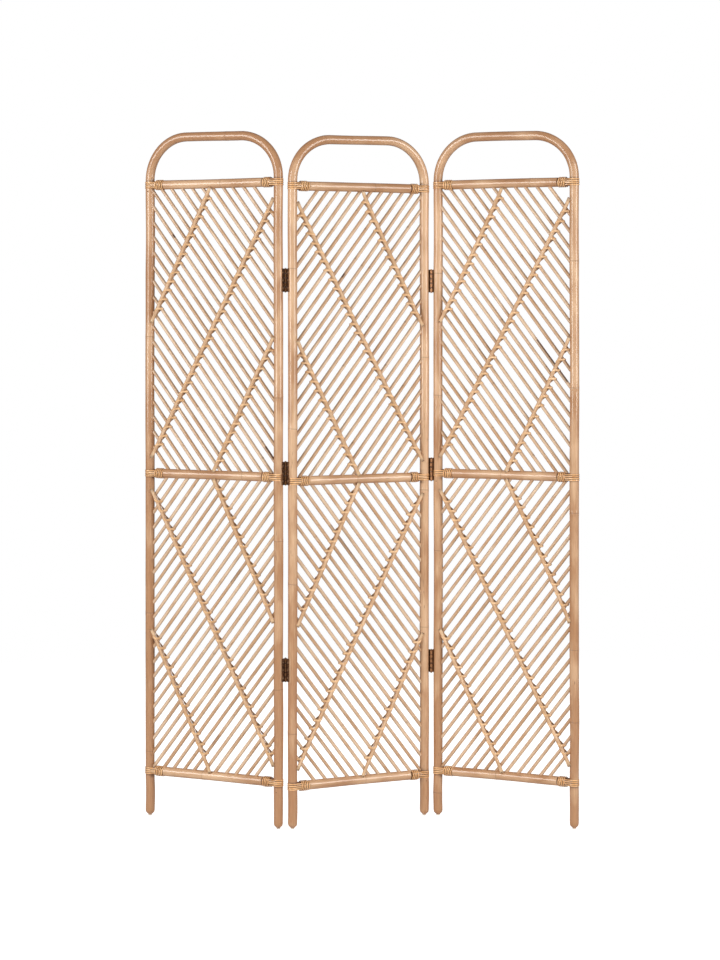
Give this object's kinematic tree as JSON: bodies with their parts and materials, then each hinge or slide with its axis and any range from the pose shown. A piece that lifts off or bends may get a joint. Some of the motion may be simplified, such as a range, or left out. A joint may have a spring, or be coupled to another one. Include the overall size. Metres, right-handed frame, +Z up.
{
  "type": "folding screen",
  "caption": "Free-standing rattan screen of hinged panels, each a bent pole hoop with rails and slanted stick lattices.",
  "frame": {"origin": "on the floor under the middle panel's centre", "axes": "+Z up, +X along the line of the screen to the right, the front faces -Y"},
  "size_m": [1.133, 0.2032, 1.8],
  "materials": {
    "pole": "varnished rattan pole",
    "stick": "varnished thin rattan stick",
    "peel": "glossy rattan peel",
    "hinge": "antique bronze",
    "pin": "antique bronze",
    "glide": "pale matte"
  },
  "bodies": {
    "left_panel": {"left_panel_hoop": "pole", "left_panel_top_rail": "pole", "left_panel_middle_rail": "pole", "left_panel_bottom_rail": "pole", "left_panel_upper_lattice": "stick", "left_panel_lower_lattice": "stick", "left_panel_top_left_binding": "peel", "left_panel_middle_left_binding": "peel", "left_panel_bottom_left_binding": "peel", "left_panel_left_glide": "glide", "left_panel_top_right_binding": "peel", "left_panel_middle_right_binding": "peel", "left_panel_bottom_right_binding": "peel", "left_panel_right_glide": "glide", "left_upper_hinge_outer_leaf": "hinge", "left_middle_hinge_outer_leaf": "hinge", "left_lower_hinge_outer_leaf": "hinge"},
    "middle_panel": {"middle_panel_hoop": "pole", "middle_panel_top_rail": "pole", "middle_panel_middle_rail": "pole", "middle_panel_bottom_rail": "pole", "middle_panel_upper_lattice": "stick", "middle_panel_lower_lattice": "stick", "middle_panel_top_left_binding": "peel", "middle_panel_middle_left_binding": "peel", "middle_panel_bottom_left_binding": "peel", "middle_panel_left_glide": "glide", "middle_panel_top_right_binding": "peel", "middle_panel_middle_right_binding": "peel", "middle_panel_bottom_right_binding": "peel", "middle_panel_right_glide": "glide", "left_upper_hinge_middle_leaf": "hinge", "left_upper_hinge_pin": "pin", "right_upper_hinge_middle_leaf": "hinge", "right_upper_hinge_pin": "pin", "left_middle_hinge_middle_leaf": "hinge", "left_middle_hinge_pin": "pin", "right_middle_hinge_middle_leaf": "hinge", "right_middle_hinge_pin": "pin", "left_lower_hinge_middle_leaf": "hinge", "left_lower_hinge_pin": "pin", "right_lower_hinge_middle_leaf": "hinge", "right_lower_hinge_pin": "pin"},
    "right_panel": {"right_panel_hoop": "pole", "right_panel_top_rail": "pole", "right_panel_middle_rail": "pole", "right_panel_bottom_rail": "pole", "right_panel_upper_lattice": "stick", "right_panel_lower_lattice": "stick", "right_panel_top_left_binding": "peel", "right_panel_middle_left_binding": "peel", "right_panel_bottom_left_binding": "peel", "right_panel_left_glide": "glide", "right_panel_top_right_binding": "peel", "right_panel_middle_right_binding": "peel", "right_panel_bottom_right_binding": "peel", "right_panel_right_glide": "glide", "right_upper_hinge_outer_leaf": "hinge", "right_middle_hinge_outer_leaf": "hinge", "right_lower_hinge_outer_leaf": "hinge"}
  },
  "joints": [
    {"name": "left_fold", "type": "hinge", "parent": "middle_panel", "child": "left_panel", "pos_m": [-0.19026, -0.08168, 0.9], "axis": [0, 0, 1], "range_deg": [-126, 54]},
    {"name": "right_fold", "type": "hinge", "parent": "middle_panel", "child": "right_panel", "pos_m": [0.19026, 0.08168, 0.9], "axis": [0, 0, 1], "range_deg": [-126, 54]}
  ]
}
